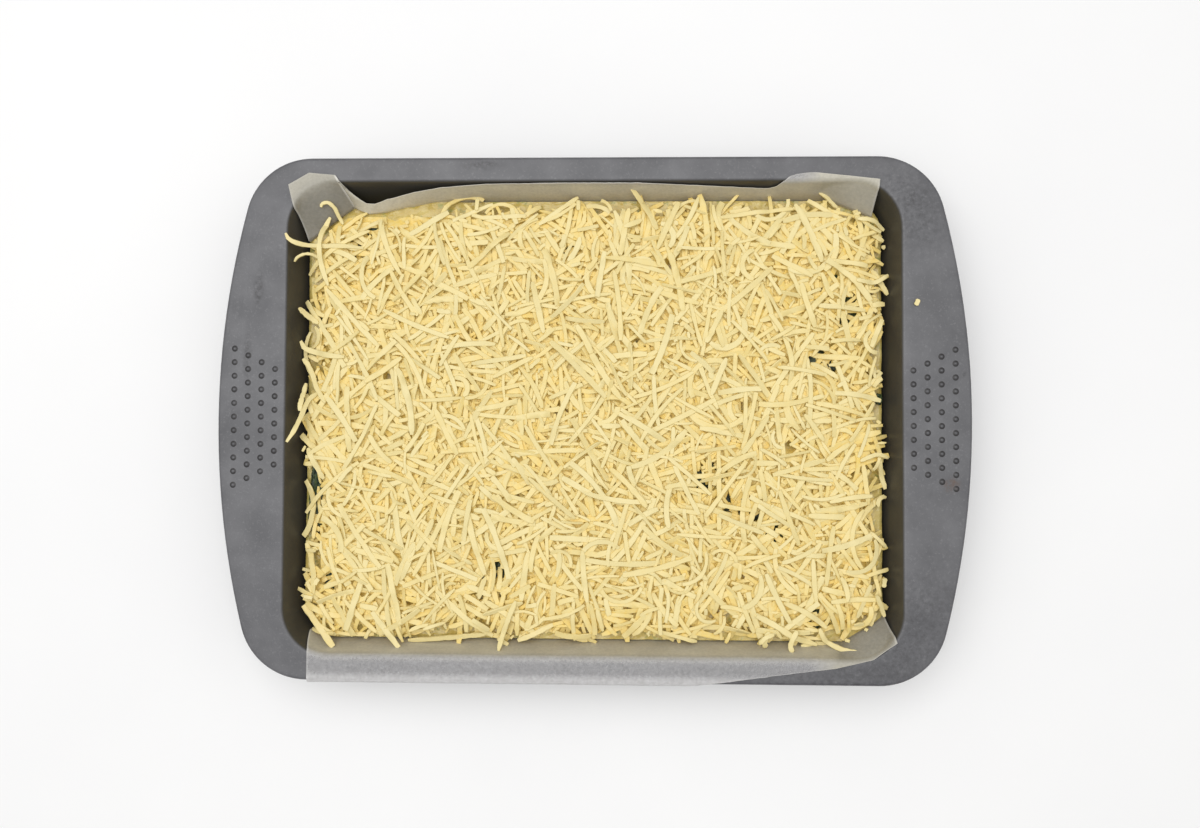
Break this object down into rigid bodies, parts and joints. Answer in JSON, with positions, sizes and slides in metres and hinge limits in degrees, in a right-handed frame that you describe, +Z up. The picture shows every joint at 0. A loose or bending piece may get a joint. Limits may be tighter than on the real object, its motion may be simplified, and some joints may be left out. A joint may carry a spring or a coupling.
{
  "type": "lined baking tin of uncooked egg and courgette slice under grated cheese",
  "caption": "Dark oven tin with wide dotted end handles, lined with baking paper and filled with raw egg and vegetable mixture under a loose heap of grated cheese.",
  "frame": {"origin": "centre of the tin's flat underside, on the surface that it stands on", "axes": "+X along the tin's length from handle to handle, +Y across it towards the side with the torn paper corner, +Z up"},
  "size_m": [0.36, 0.2525, 0.0462],
  "materials": {
    "dark_coating": "satin dark grey non-stick coating on pressed steel, lightly worn",
    "baking_paper": "translucent greaseproof baking paper",
    "egg_mixture": null,
    "grated_cheese": null,
    "green_leaf": null
  },
  "bodies": {
    "root": {"baking_tin": "dark_coating", "baking_paper": "baking_paper", "egg_mixture": "egg_mixture", "grated_cheese": "grated_cheese", "leaf_left_edge": "green_leaf", "leaf_back_left": "green_leaf", "leaf_front_left": "green_leaf", "leaf_front": "green_leaf", "leaf_centre_left": "green_leaf", "leaf_centre": "green_leaf", "leaf_centre_right": "green_leaf", "leaf_right": "green_leaf", "leaf_right_middle": "green_leaf", "leaf_front_right": "green_leaf"}
  },
  "joints": []
}
